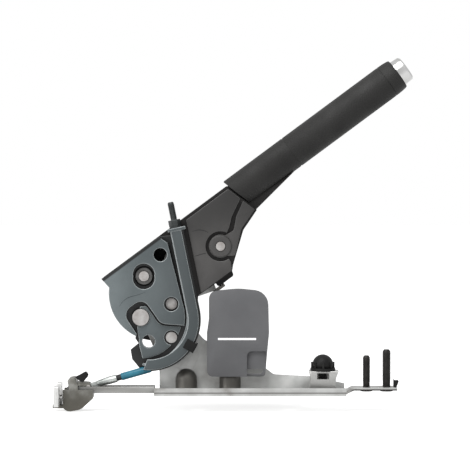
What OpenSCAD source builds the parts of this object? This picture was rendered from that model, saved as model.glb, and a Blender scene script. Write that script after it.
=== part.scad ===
// Parking brake lever assembly: a zinc-plated floor bracket carries a black pressed
// lever with a cable sector, a ratchet and pawl, a push-button grip, and a cable run
// to a slider that rides on the bracket's tail rail.
// Millimetres, +Z up. The origin is the middle of the floor bolt pattern, on the floor.
// +X runs towards the grip end, and -Y is the side that carries the cable sector.

/* [Lever] */
// Angle of the released lever above the floor
lever_tilt = 36.5; // [30:0.5:42]
// Height of the lever pivot above the floor
pivot_z = 76; // [72:1:84]
// Distance of the lever pivot behind the origin
pivot_back = 99; // [94:1:104]
// Outside width of the lever channel
arm_w = 30; // [28:0.5:34]
// Sheet thickness of the lever channel
arm_t = 2; // [1.5:0.1:2.5]
// Height of the channel's top above the pivot, square to the lever
arm_top = 54; // [52:0.5:58]
// Distance from the pivot to the open end of the channel
arm_length = 146; // [140:1:152]
// Radius of the pivot pin
pivot_r = 6; // [5:0.25:6.5]

/* [Grip and button] */
// Outside radius of the grip
grip_r = 17; // [16.5:0.25:19]
// Length of the grip
grip_length = 205; // [190:1:220]
// Height of the grip's axis above the pivot, square to the lever
grip_axis = 42.5; // [41:0.5:43]
// Outside radius of the handle tube
tube_r = 11; // [10:0.25:12]
// Wall of the handle tube
tube_wall = 2; // [1.5:0.25:2.5]
// Radius of the button's skirt
button_r = 13.6; // [13:0.1:13.9]
// Travel of the release button
button_travel = 7; // [5:0.5:8]
// Radius of the release rod
rod_r = 3; // [2.5:0.25:3.5]

/* [Cable sector] */
// Radius of the cable's path round the pivot
cable_path_r = 52; // [50:0.5:54]
// Radius of the brake cable
cable_r = 3; // [2.5:0.1:3.3]
// Thickness of the sector sheet
sector_t = 2; // [1.5:0.1:2.2]
// Height of the raised panel above the sector sheet
panel_rise = 7.5; // [6:0.5:8]
// Angle below the lever at which the cable leaves the sector for the adjuster
adjuster_angle = 25; // [22:1:28]
// Radius of the threaded adjuster
adjuster_r = 3; // [2.5:0.1:3.2]

/* [Ratchet] */
// Radius over the ratchet's tooth tips
ratchet_r = 85; // [83:0.5:86]
// Angle between ratchet teeth
tooth_pitch = 2.5; // [2:0.25:3]
// Depth of a ratchet tooth
tooth_depth = 2.2; // [1.6:0.1:2.6]
// Thickness of the ratchet plate
ratchet_t = 4; // [3:0.25:5]

/* [Floor bracket] */
// Thickness of the bracket's web
web_t = 3; // [2.5:0.25:3.5]
// Thickness of the floor flanges
floor_t = 2.5; // [2:0.25:3]
// Height of the turned-up lips
lip_h = 7.5; // [7:0.25:8]
// Distance between floor bolt holes along the lever
bolt_span_x = 90; // [80:1:92]
// Distance between floor bolt holes across the lever
bolt_span_y = 48; // [44:1:52]
// Radius of the floor bolt holes
bolt_hole_r = 4.25; // [3.5:0.25:5]
// Outside width of the tail rail
rail_w = 18; // [17:0.5:20]
// Radius of the rear console stud
rear_stud_r = 3.35; // [3:0.05:3.5]
// Radius of the front console stud
front_stud_r = 3.75; // [3.5:0.05:4]

/* [Side cover] */
// Width of the side cover
cover_w = 62; // [56:1:64]
// Height of the side cover
cover_h = 88; // [80:1:89]
// Wall of the side cover
cover_t = 2.5; // [2:0.25:3]

/* [Hidden] */
$fn = 64;
// Radial clearance of a riveted or seated fit, and of a running fit
seat_fit = 0.02;
run_fit = 0.05;
// Gap kept between pieces that pass each other
pass_gap = 0.4;
corner_steps = 6;

pivot_x = -pivot_back;
arm_in = arm_w / 2 - arm_t;
near_face = -arm_w / 2;
sheet_front = near_face - sector_t;
panel_front = sheet_front - panel_rise;
groove_w = 2 * cable_r + 2;
rim_back = sheet_front - groove_w;
rim_front = rim_back - sector_t;
rim_proud = 0.4;
cable_y = sheet_front - groove_w / 2;

grip_start = arm_length;
grip_end = grip_start + grip_length;
tube_end = grip_end - button_travel - 2;
bulkhead_t = 8;
bush_wall = 2;
bush_r = pivot_r + bush_wall;
pin_head_r = 8.3;
pin_head_t = 5.6;
spacer_r = 9.5;

// Places on the lever: x along the lever from the pivot, z square to it
pawl_pin = [106, 9.5];
pawl_pin_r = 4.5;
pawl_boss_r = 11;
cross_rivet = [27, 31];
cross_rivet_r = 5;
cross_collar_r = 8.6;
cross_washer_t = 4.5;
pawl_washer_t = 1.2;
sector_rivets_at = [[32.5, -7.5], [12.5, -34.5]];
sector_rivet_r = 3;
sector_rivet_head_r = 5.6;
sector_window_r = 7.2;
spare_hole = [53, 38.5];
spare_hole_r = 6.7;
sight_hole = [-8, -24];
sight_hole_r = 6.4;

// Cable groove on the sector
groove_floor_r = cable_path_r - cable_r - 1;
groove_floor_t = 2;
rim_inner_r = groove_floor_r - groove_floor_t;
lower_panel_rise = 4;
lower_panel_r = rim_inner_r - 4.8;
// Rim strip and far flange: straight beside the adjuster, then round a centre of their own
rim_centre = [5.1, -7.1];
rim_half_w = 5.2;
rim_tail_angle = -135;
rim_off = rim_centre * [cos(adjuster_angle), -sin(adjuster_angle)];
rim_in = cable_path_r - rim_half_w;
rim_out = cable_path_r + rim_half_w;
far_flange_r = rim_out + 2;
clip_angle = -66;
// Left edge of the sector: one wide arc
left_centre = [26, 10];
left_r = 47;
left_from = 136;
left_to = 208;
// Grip's slanted start, which the arm's end follows
start_slant = 16;
arm_end_low = 17;
arm_end_x = arm_length + (arm_top - arm_end_low) * tan(start_slant);
keel_half = 7;
keel_end_x = arm_length + 63;
// Pressed pads on the channel's near wall
doubler_gap = 5;
doubler_t = 3.4;
pawl_pad_t = 2.2;
// Release button, its rod and its spring
button_seat = grip_end - 0.5;
stem_len = 20;
rod_lap = 11;
button_head = 11;
rod_tip = 121;
spring_from = 290;
spring_wire_r = 0.7;
spring_turns = 8;
rod_guide_t = 6;
// Adjuster at the sector's upper end
sector_tail_angle = -128;
adjuster_len = 82;
stud_above_nut = 18;
nut_h = 6.5;
nut_r = 6.2;
washer_t = 1.4;
tab_t = 3;
crimp_len = 26;

// The cable's free run: eye on the slider, then a line that touches the cable circle
rail_end_x = -172;
slider_x0 = rail_end_x - 4;
slider_len = 30;
eye_x = slider_x0 + 25;
eye_z = 7.2;
eye_r = 3.2;
eye_dx = pivot_x - eye_x;
eye_dz = pivot_z - eye_z;
eye_dist = sqrt(eye_dx * eye_dx + eye_dz * eye_dz);
run_angle = atan2(eye_dz, eye_dx) - asin(cable_path_r / eye_dist);
run_len = sqrt(eye_dist * eye_dist - cable_path_r * cable_path_r);
run_gap = 1.4;
ferrule_start = 9;
ferrule_end = 29;
sleeve_from = 34;
sleeve_to = 64;
sleeve_r = 3.7;
touch_angle = run_angle - 90 - lever_tilt;

// Slider and rail
rail_z = 1;
slider_t = 2.5;
slider_gap = 0.4;
slider_in = rail_w / 2 + slider_gap;
slider_out = slider_in + slider_t;
slider_pin_r = 2;
saddle_z = lip_h + slider_gap;
yoke_x = slider_x0 - 5.5;
yoke_t = 5;
yoke_half = 28;
yoke_pin_r = 2.2;
yoke_boss_r = 4.2;
yoke_low = -11;
yoke_h = 20;
yoke_boss_h = 8;
yoke_gap = 0.4;
tongue_t = 3;
nipple_z = -1.5;
nipple_r = 3.5;
nipple_y = 21;

// Ratchet and pawl
nose_angle = -8;
ratchet_y = web_t / 2;
pawl_t = ratchet_t - 0.8;
pawl_y = ratchet_y + 0.4;
ratchet_from = lever_tilt + nose_angle - 5;
ratchet_to = lever_tilt + nose_angle + 40;
ratchet_inner_r = ratchet_r - 23;
tooth_count = floor((ratchet_to - ratchet_from) / tooth_pitch) - 1;
rivet_r = 3;
rivet_head_t = 2;
ratchet_rivet_angles = [ratchet_from + 9, ratchet_to - 9];
web_hub_r = 18;
// Bumper on the lever, and the tab on the ratchet fan that stops it
bumper_low = -22;
stop_tab_x = ratchet_r - 12;
stop_tab_len = 13;
stop_tab_w = 10;
stop_tab_t = 3;
stop_tab_angle = lever_tilt + atan2(bumper_low - pass_gap, stop_tab_x);
// The fan runs below the first tooth, and always as far down as the stop tab's root
fan_r = ratchet_r - tooth_depth - 3;
fan_from = min(ratchet_from - 4.5, stop_tab_angle - 0.4);

// Floor flange and console pieces
flange_front = -46;
flange_back_x = -85;
flange_front_x = 105;
console_end_x = 156;
console_rise = 4;
console_half = 12;
console_y = -22;
rear_stud_x = 126;
front_stud_x = 146;
rear_stud_top = 38;
front_stud_top = 44;
stud_head_t = 1.6;
stud_neck = 0.6;
lug_gap = 3.2;
bridge_x = 82.5;
bridge_half = 14;
bridge_top = 23;
bridge_depth = 20;
clip_r = 10.5;
clip_leg_r = 4;
dart_x = [-54, -10];
dart_r = 11;
dart_h = 12;

// Side cover
cover_x = -33;
cover_z = 16.5;
cover_front = -20;
cover_depth = 6;
cover_slot = [11, 38, 2.2];
cover_slot_z = 36.5;
cover_peg_r = 3.6;
cover_pegs = [[-24, 37], [-3, 31]];

// Points of an outline whose corners [x, y, radius] are rounded by arcs
function corner_arc(before, at, after) =
  let (a = [before[0] - at[0], before[1] - at[1]], b = [after[0] - at[0], after[1] - at[1]])
  let (ua = a / norm(a), ub = b / norm(b), half = acos(max(-1, min(1, ua * ub))) / 2)
  let (reach = at[2] / tan(half), mid = (ua + ub) / norm(ua + ub))
  let (centre = [at[0], at[1]] + mid * at[2] / sin(half))
  let (p = [at[0], at[1]] + ua * reach - centre, q = [at[0], at[1]] + ub * reach - centre)
  let (start = atan2(p[1], p[0]), turn = atan2(q[1], q[0]) - start)
  let (sweep = turn > 180 ? turn - 360 : turn < -180 ? turn + 360 : turn)
  [for (i = [0 : corner_steps]) let (t = start + sweep * i / corner_steps)
    centre + at[2] * [cos(t), sin(t)]];
function rounded(points) = let (n = len(points))
  [for (i = [0 : n - 1]) each points[i][2] == 0 ? [[points[i][0], points[i][1]]]
    : corner_arc(points[(i + n - 1) % n], points[i], points[(i + 1) % n])];
function polar(r, angle) = [r * cos(angle), r * sin(angle)];
function arc(r, from, to, steps = 24) =
  [for (i = [0 : steps]) polar(r, from + (to - from) * i / steps)];

// Draws a 2D side outline as a plate from y0 to y1
module plate(y0, y1) {
  translate([0, y1, 0]) rotate([90, 0, 0]) linear_extrude(y1 - y0) children();
}
// A cylinder across the lever at [x, z] from y0 to y1
module across(at, r, y0, y1) {
  translate([at[0], y0, at[1]]) rotate([-90, 0, 0]) cylinder(r = r, h = y1 - y0);
}
// A ring across the lever
module ring_across(at, r_out, r_in, y0, y1) {
  difference() {
    across(at, r_out, y0, y1);
    across(at, r_in, y0 - 1, y1 + 1);
  }
}
// Frame of the released lever: origin on the pivot, x along the lever
module on_lever() {
  translate([pivot_x, 0, pivot_z]) rotate([0, -lever_tilt, 0]) children();
}
// Frame with z along the grip's axis, starting at distance x from the pivot
module on_grip(x) {
  on_lever() translate([x, 0, grip_axis]) rotate([0, 90, 0]) children();
}
// Everything behind the grip's slanted start, in the grip's frame
module grip_start_cut() {
  reach = 3 * grip_r;
  translate([-grip_r, 0, 0]) rotate([0, -start_slant, 0])
    translate([-grip_r, -reach / 2, -reach]) cube([2 * reach, reach, reach]);
}
// Frame of the adjuster: z runs along the cable from where it leaves the sector's curve
module on_adjuster(s) {
  on_lever() rotate([0, adjuster_angle, 0]) translate([cable_path_r, cable_y, s]) children();
}
// Frame of the cable run: z runs along the cable from the slider's eye
module on_run(s) {
  translate([eye_x, cable_y, eye_z]) rotate([0, 90 - run_angle, 0]) translate([0, 0, s]) children();
}
// A coil spring round z
module coil(r, wire_r, turns, pitch) {
  sides = 8;
  per_turn = 14;
  rings = turns * per_turn;
  points = [for (i = [0 : rings]) for (k = [0 : sides - 1])
    let (a = 360 * i / per_turn, b = 360 * k / sides, d = r + wire_r * cos(b))
    [d * cos(a), d * sin(a), wire_r * sin(b) + pitch * i / per_turn]];
  walls = [for (i = [0 : rings - 1]) for (k = [0 : sides - 1])
    let (n = (k + 1) % sides)
    [i * sides + k, (i + 1) * sides + k, (i + 1) * sides + n, i * sides + n]];
  first = [for (k = [0 : sides - 1]) k];
  last = [for (k = [sides - 1 : -1 : 0]) rings * sides + k];
  polyhedron(points, concat(walls, [first, last]), convexity = 8);
}

// Side outline of the bracket's web: hub, ratchet fan, leg and low front wall
module web_outline() {
  leg = [[-81, 0, 0], [-81, 30, 8], [-92, 56, 0], [pivot_x, pivot_z, 0], [-74, 80, 0], [-52, 70, 12],
    [-36, 52, 12], [-4, 36, 10], [22, 26, 8], [34, 17, 6], [70, 15, 4], [flange_front_x, 8, 0],
    [flange_front_x, 0, 0]];
  polygon(rounded(leg));
  translate([pivot_x, pivot_z]) {
    circle(r = web_hub_r);
    polygon(concat([[0, 0]], arc(fan_r, fan_from, ratchet_to)));
  }
}

module floor_bracket() color("silver") {
  difference() {
    union() {
      plate(-web_t / 2, web_t / 2) web_outline();
      translate([flange_back_x, flange_front, 0])
        cube([flange_front_x - flange_back_x, -flange_front, floor_t]);
      translate([flange_back_x, flange_front, 0])
        cube([flange_front_x - flange_back_x, floor_t, lip_h]);
      console_shelf();
      for (x = dart_x) bend_dart(x);
      stop_tab();
    }
    across([pivot_x, pivot_z], pivot_r + seat_fit, -web_t, web_t);
    for (a = ratchet_rivet_angles) across(ratchet_rivet_at(a), rivet_r + seat_fit, -web_t, web_t);
    for (x = [-1, 1]) translate([x * bolt_span_x / 2, -bolt_span_y / 2, -1])
      cylinder(r = bolt_hole_r, h = floor_t + 2);
    for (s = [[rear_stud_x, rear_stud_r], [front_stud_x, front_stud_r]])
      translate([s[0], console_y, 0]) cylinder(r = s[1] - stud_neck + seat_fit, h = 20);
  }
}
function ratchet_rivet_at(a) = [pivot_x, pivot_z] + polar(ratchet_inner_r + 8, a);

// Channel-shaped rail that guides the cable slider, butted to the foot with a tongue on top
module tail_rail() color("silver") {
  length = flange_back_x - rail_end_x;
  tongue = 15;
  inside = rail_w - 2 * floor_t;
  translate([rail_end_x, cable_y - rail_w / 2, rail_z]) difference() {
    cube([length, rail_w, lip_h - rail_z]);
    translate([-1, floor_t, floor_t]) cube([length + 2, inside, lip_h]);
  }
  translate([flange_back_x - 3, cable_y - inside / 2, floor_t]) cube([tongue, inside, floor_t - 0.5]);
}
// Raised shelf at the front end that carries the console studs
module console_shelf() {
  slope = 8;
  shelf = [[flange_front_x - 1, 0, 0], [flange_front_x, 0, 0],
    [flange_front_x + slope, console_rise, 0], [console_end_x, console_rise, 0],
    [console_end_x, console_rise + floor_t, 0],
    [flange_front_x + slope - 1, console_rise + floor_t, 0], [flange_front_x - 1, floor_t, 0]];
  plate(console_y - console_half, console_y + console_half) polygon(rounded(shelf));
}
// Pressed stiffening dart at the bend between the web and the floor flange
module bend_dart(x) {
  translate([x, -web_t / 2, floor_t]) intersection() {
    union() {
      cylinder(r = dart_r, h = dart_h - floor_t);
      translate([0, 0, dart_h - floor_t]) sphere(r = dart_r);
    }
    translate([-dart_r, -dart_r, 0]) cube([2 * dart_r, dart_r, 2 * dart_r + dart_h]);
  }
}
// Tab on the ratchet fan that the released lever rests on
module stop_tab() {
  on_lever() translate([stop_tab_x, -web_t / 2 - stop_tab_w, bumper_low - stop_tab_t - pass_gap])
    cube([stop_tab_len, stop_tab_w + web_t / 2, stop_tab_t]);
}

module rear_foot() color("silver") {
  foot_half = 62;
  foot_out = 36;
  leg_h = 14;
  difference() {
    union() {
      translate([-foot_half, web_t / 2, 0]) cube([2 * foot_half, foot_out, floor_t]);
      translate([-foot_half, web_t / 2, 0]) cube([2 * foot_half, floor_t, leg_h]);
    }
    for (x = [-1, 1]) translate([x * bolt_span_x / 2, bolt_span_y / 2, -1])
      cylinder(r = bolt_hole_r, h = floor_t + 2);
  }
}

module console_bridge() color("silver") {
  waist = 2;
  window = [12, 6];
  window_z = 15;
  side = [[-bridge_half, floor_t, 0], [-bridge_half + waist, bridge_top * 0.6, 18],
    [-bridge_half, bridge_top, 0], [bridge_half + 1.5, bridge_top, 0],
    [bridge_half - waist, bridge_top * 0.6, 18], [bridge_half, floor_t, 0]];
  difference() {
    translate([bridge_x, 0, 0]) plate(console_y - bridge_depth / 2, console_y + bridge_depth / 2)
      polygon(rounded(side));
    translate([bridge_x - 2 * bridge_half, console_y - bridge_depth / 2 + floor_t, 0])
      cube([4 * bridge_half, bridge_depth - 2 * floor_t, bridge_top - floor_t]);
    translate([bridge_x - window[0] / 2, console_y - bridge_depth, window_z])
      cube([window[0], bridge_depth, window[1]]);
    translate([bridge_x, console_y, 0]) cylinder(r = clip_leg_r + seat_fit, h = 40);
  }
}

module push_clip() color([0.06, 0.06, 0.06]) translate([bridge_x, console_y, bridge_top]) {
  flange_t = 2.6;
  rib_count = 8;
  dome = concat([[0, flange_t], [clip_r - 1, flange_t]],
    [for (a = [0 : 10 : 80]) [clip_r * cos(a), flange_t + 3 + clip_r * sin(a)]],
    [[0, flange_t + 3 + clip_r]]);
  rotate_extrude() polygon(dome);
  cylinder(r = clip_r + 2, h = flange_t);
  for (i = [0 : rib_count - 1]) rotate([0, 0, 360 * i / rib_count])
    translate([clip_r - 2, -1, flange_t]) cube([3.2, 2, 6]);
  translate([0, 0, -9]) cylinder(r = clip_leg_r, h = 9);
  for (z = [-6, -8.4]) translate([0, 0, z]) cylinder(r1 = clip_leg_r, r2 = clip_leg_r + 0.8, h = 1.6);
}

// Upright stud clinched into the shelf, with its head below
module console_stud(x, r, top) {
  chamfer = 2;
  seat = console_rise + floor_t;
  translate([x, console_y, 0]) {
    translate([0, 0, console_rise]) cylinder(r = r - stud_neck, h = floor_t);
    translate([0, 0, seat]) cylinder(r = r, h = top - seat - chamfer);
    translate([0, 0, top - chamfer]) cylinder(r1 = r, r2 = r - chamfer * 0.6, h = chamfer);
    translate([0, 0, console_rise - stud_head_t]) cylinder(r = r + 2.5, h = stud_head_t);
  }
}
module rear_console_stud() color([0.1, 0.1, 0.1]) console_stud(rear_stud_x, rear_stud_r, rear_stud_top);
module front_console_stud() color([0.16, 0.16, 0.17])
  console_stud(front_stud_x, front_stud_r, front_stud_top);
// Small black lug beside the front stud
module stud_lug() color([0.06, 0.06, 0.06]) {
  foot_z = console_rise + floor_t;
  near = front_stud_x + front_stud_r + lug_gap;
  plate(console_y - 3, console_y + 3) polygon(rounded([[near, foot_z, 0], [near + 3, foot_z, 0],
    [near + 5.5, foot_z + 7, 1], [near + 1.5, foot_z + 6.5, 1], [near, foot_z + 8, 0]]));
}

// Front outline of the side cover from its lower left corner
module cover_outline(inset = 0) {
  w = cover_w - inset;
  h = cover_h - inset;
  polygon(rounded([[inset, inset, 6], [w - 4, inset, 3], [w, h * 0.5, 20], [w - 1, h - 3, 15],
    [w * 0.5, h, 60], [inset + 2, h - 3, 8], [inset + 2, h * 0.66, 12], [inset, h * 0.5, 12]]));
}
module side_cover() color([0.43, 0.43, 0.44]) translate([cover_x, 0, cover_z]) {
  notch = [40, 8.5, cover_w, 25.5];
  difference() {
    plate(cover_front, cover_front + cover_depth) cover_outline();
    plate(cover_front + cover_t, cover_front + cover_depth + 1) cover_outline(cover_t);
    translate([cover_slot[0], cover_front - 1, cover_slot_z])
      cube([cover_slot[1], cover_t + 2, cover_slot[2]]);
    plate(cover_front - 1, cover_front + cover_t + 1)
      polygon(rounded([[notch[0], -1, 0], [notch[0], notch[3], 5], [notch[2] - 3, notch[3], 1],
        [notch[2] - 3, notch[1], 0], [notch[2] + 9, notch[1], 0], [notch[2] + 9, -1, 0]]));
  }
  plate(cover_front + cover_depth - cover_t, cover_front + cover_depth)
    polygon([[notch[0] - 2, notch[1] - 1], [notch[2] - 3, notch[1] - 1], [notch[2] - 2, notch[3] + 2],
      [notch[0] - 2, notch[3] + 2]]);
  for (p = cover_pegs) across([p[0] - cover_x, p[1] - cover_z], cover_peg_r,
    cover_front + cover_t - 0.5, -web_t / 2);
}

module pivot_pin() color([0.72, 0.7, 0.68]) translate([pivot_x, 0, pivot_z]) {
  head_gap = 0.3;
  near = sheet_front - head_gap;
  far = arm_w / 2 + head_gap;
  across([0, 0], pivot_r, near - 0.1, far + 0.1);
  across([0, 0], pin_head_r, near - pin_head_t, near);
  across([0, 0], pin_head_r, far, far + pin_head_t);
}
module pivot_spacers() color("silver") for (side = [-1, 1]) {
  inner = web_t / 2;
  outer = arm_in - 0.3;
  ring_across([pivot_x, pivot_z], spacer_r, pivot_r + seat_fit,
    side < 0 ? -outer : inner, side < 0 ? -inner : outer);
}

// Ratchet outline about the pivot: saw teeth that let the pawl ride up and hold it down
module ratchet_outline() {
  teeth = [for (i = [0 : tooth_count - 1]) let (a = ratchet_from + 1 + i * tooth_pitch)
    each [polar(ratchet_r - tooth_depth, a), polar(ratchet_r, a + tooth_pitch * 0.9),
      polar(ratchet_r - tooth_depth, a + tooth_pitch * 0.98)]];
  last = ratchet_from + 1 + tooth_count * tooth_pitch;
  inner = [for (i = [20 : -1 : 0]) polar(ratchet_inner_r,
    ratchet_from + (last - ratchet_from) * i / 20)];
  polygon(concat([polar(ratchet_r - tooth_depth, ratchet_from)], teeth,
    [polar(ratchet_r - tooth_depth, last)], inner));
}
module ratchet_plate() color([0.5, 0.5, 0.5]) difference() {
  translate([pivot_x, 0, pivot_z]) plate(ratchet_y, ratchet_y + ratchet_t) ratchet_outline();
  for (a = ratchet_rivet_angles) across(ratchet_rivet_at(a), rivet_r + seat_fit, 0, ratchet_t + web_t);
}
module ratchet_rivets() color("silver") for (a = ratchet_rivet_angles) {
  across(ratchet_rivet_at(a), rivet_r, -web_t / 2, web_t / 2 + ratchet_t);
  across(ratchet_rivet_at(a), rivet_r + 2, -web_t / 2 - rivet_head_t, -web_t / 2);
  across(ratchet_rivet_at(a), rivet_r + 2, web_t / 2 + ratchet_t, web_t / 2 + ratchet_t + rivet_head_t);
}

// Side outline of the lever channel, hub lobe included
function arm_end(z) = arm_length + (arm_top - z) * tan(start_slant) - 1;
module arm_outline() {
  polygon(concat(rounded([[-8, arm_top, 0], [arm_length, arm_top, 0], [arm_end_x, arm_end_low, 0],
    [134, 9, 8], [pawl_pin[0] - 1, pawl_pin[1] - 22.5, 6], [pawl_pin[0] - 6, pawl_pin[1] - 27.5, 3],
    [58, -17, 4], [40, -40, 10], [8, -44, 8], [-14, -20, 0]]),
    [for (i = [12 : -1 : 0]) left_edge(1.5)[i]]));
}
module lever_arm() color([0.16, 0.155, 0.15]) on_lever() {
  keel = [[arm_length - bulkhead_t, arm_end_low + 2, 0], [arm_end_x, arm_end_low + 0.7, 3],
    [keel_end_x, grip_axis - grip_r, 0], [keel_end_x, grip_axis, 0],
    [arm_length - bulkhead_t, grip_axis, 0]];
  difference() {
    union() {
      difference() {
        plate(-arm_w / 2, arm_w / 2) arm_outline();
        plate(-arm_in, arm_in) translate([0, -arm_t]) {
          arm_outline();
          translate([-60, -80]) square([arm_length + 80, 80 + arm_top - 20]);
          translate([-60, 0]) square([80, arm_top]);
        }
      }
      translate([arm_length - bulkhead_t, -arm_in, arm_end_low + 4])
        cube([bulkhead_t, 2 * arm_in, arm_top - arm_end_low - 4]);
      plate(-keel_half, keel_half) polygon(rounded(keel));
    }
    translate([arm_length - bulkhead_t - 1, 0, grip_axis]) rotate([0, 90, 0])
      cylinder(r = tube_r + seat_fit, h = 20);
    translate([grip_start, 0, grip_axis]) rotate([0, 90, 0]) difference() {
      cylinder(r = grip_r + seat_fit, h = 80);
      translate([0, 0, -seat_fit]) grip_start_cut();
    }
    across([0, 0], bush_r + seat_fit, -arm_w, arm_w);
    across(pawl_pin, pawl_pin_r + seat_fit, -arm_w, arm_w);
    across(cross_rivet, cross_rivet_r + seat_fit, -arm_w, arm_w);
    for (p = sector_rivets_at) across(p, sector_rivet_r + seat_fit, -arm_w, 0);
    across(sight_hole, sight_hole_r, -arm_w, 0);
    across(spare_hole, spare_hole_r, -arm_w, 0);
  }
}
// Doubler on the near wall, cut away round the pawl boss
module arm_doubler() color([0.2, 0.19, 0.185]) on_lever() {
  recess_r = 15;
  lean = tan(adjuster_angle);
  low = -16.5;
  line_x = far_flange_r / cos(adjuster_angle) + doubler_gap;
  plate(near_face - doubler_t, near_face) difference() {
    polygon(rounded([[line_x + low * lean, low, 1], [line_x + (arm_top - 3) * lean, arm_top - 3, 1],
      [arm_end(arm_top - 3), arm_top - 3, 2], [arm_end(36), 36, 2], [133, 27, 10], [124, 19.5, 5],
      [pawl_pin[0], pawl_pin[1], 0], [pawl_pin[0] - 1, -9, 4], [101, -16.5, 1]]));
    translate(pawl_pin) circle(r = recess_r);
  }
}
// Lower pad beyond the S-shaped groove: boss round the pawl pin and the strip to the grip
module pawl_pad() color([0.2, 0.19, 0.185]) on_lever() difference() {
  front = near_face - pawl_pad_t;
  union() {
    across(pawl_pin, pawl_boss_r + 0.6, front, near_face);
    plate(front, near_face) polygon(rounded([[pawl_pin[0] + 1, pawl_pin[1] + 8, 0], [117, 15.4, 2],
      [126, 14.4, 5], [136, 24, 8], [arm_end(32.5), 32.5, 1], [arm_end(18.5), 18.5, 1], [133, 11, 6],
      [pawl_pin[0] + 6, -7, 3], [pawl_pin[0] - 2, -1, 0]]));
  }
  across(pawl_pin, pawl_pin_r + seat_fit, front - 1, near_face + 1);
}

// Lower level of the sector: sheet round the pivot that is the groove's far flange
module sector_sheet_outline() {
  a = -adjuster_angle;
  up = [sin(adjuster_angle), cos(adjuster_angle)];
  top = polar(far_flange_r, a) + (adjuster_len - 2) * up;
  tail = [[-17.2, -14], [-17.4, -19.7], [-27.7, -20.1], [-32.1, -28.7]];
  polygon(concat([[-9, arm_top]], left_edge(0), tail,
    rim_arc(far_flange_r, rim_tail_angle, a), [top, top - [14, 0], [62, arm_top]]));
}
// Points of the sector's left edge, from the top down
function left_edge(inset) = [for (i = [0 : 12])
  left_centre + polar(left_r - inset, left_from + (left_to - left_from) * i / 12)];
// Arc round the rim's own centre, for a line that runs straight at this distance from the pivot
function rim_arc(distance, from, to) = [for (p = arc(distance - rim_off, from, to, 36)) p + rim_centre];
// Distance from the pivot, along a direction, to such a line's arc
function rim_reach(distance, a) = let (k = rim_centre * polar(1, a), r = distance - rim_off)
  k + sqrt(k * k - rim_centre * rim_centre + r * r);
// Upper level: the raised panel, bounded by an S-shaped step
module panel_outline() {
  lean = 0.405;
  line_x = rim_in / cos(adjuster_angle) - 3.7;
  corner_r = rim_inner_r - 1.8;
  corner = polar(corner_r, -47);
  polygon(concat([[-8.5, arm_top]], left_edge(0.5), rounded([[-15.5, -12.8, 0], [-13, -11, 1],
    [-11.5, 14.5, 10], [13.5, 14.3, 9], [12.6, -17, 10], [corner[0], corner[1], 0]]),
    arc(corner_r, -46, -26, 8), [[line_x + 44 * lean, 44], [line_x + 50 * lean - 6, arm_top]]));
}
// Middle level: the lower panel round the pivot, inside the rim
module lower_panel_outline() {
  from = -50;
  to = -124;
  corner = polar(lower_panel_r, from) + [-1.3, 1.3];
  polygon(concat(rounded([[-14, -16, 0], [-10, -8, 2], [-5, -1, 0], [6, 9, 0], [11.2, 6, 3],
    [10.6, -18, 12], [corner[0], corner[1], 0]]),
    arc(lower_panel_r, from, to, 20), [[-18, -22]]));
}
// Groove floor follows the cable's line
module groove_line(r_in, r_out, tail, reach) {
  a = -adjuster_angle;
  up = [sin(adjuster_angle), cos(adjuster_angle)];
  polygon(concat(arc(r_in, tail, a, 36), [polar(r_in, a) + reach * up, polar(r_out, a) + reach * up],
    arc(r_out, a, tail, 36)));
}
// Near rim: a wide strip in front of the cable
module rim_line(reach) {
  a = -adjuster_angle;
  up = [sin(adjuster_angle), cos(adjuster_angle)];
  polygon(concat(rim_arc(rim_in, rim_tail_angle + 6, a), [polar(rim_in, a) + reach * up,
    polar(rim_out, a) + reach * up], rim_arc(rim_out, a, rim_tail_angle + 2)));
}
module cable_sector() color([0.27, 0.31, 0.33]) on_lever() {
  tab_s = adjuster_len - washer_t - tab_t;
  tab_lap = 1.2;
  difference() {
    union() {
      plate(sheet_front, near_face) sector_sheet_outline();
      plate(rim_back - rim_proud, near_face - sector_t / 2)
        groove_line(rim_inner_r, groove_floor_r, sector_tail_angle + 4, tab_s + tab_t / 2);
      plate(rim_front - rim_proud, rim_back) rim_line(tab_s + tab_t / 2);
      rotate([0, adjuster_angle, 0]) translate([rim_inner_r - 2, rim_front - tab_lap, tab_s])
        cube([far_flange_r - rim_inner_r + 4.5, near_face - rim_front + tab_lap / 2, tab_t]);
    }
    rotate([0, adjuster_angle, 0]) translate([cable_path_r, cable_y, tab_s - 1])
      cylinder(r = adjuster_r + 0.2, h = tab_t + 2);
    across([0, 0], bush_r + seat_fit, sheet_front - 1, 0);
    across(cross_rivet, cross_collar_r + 1, sheet_front - 1, 0);
    across(sight_hole, sight_hole_r, sheet_front - 1, 0);
    across(spare_hole, spare_hole_r, sheet_front - 1, 0);
    for (p = sector_rivets_at) across(p, sector_rivet_r + seat_fit, sheet_front - 1, 0);
  }
}
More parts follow.
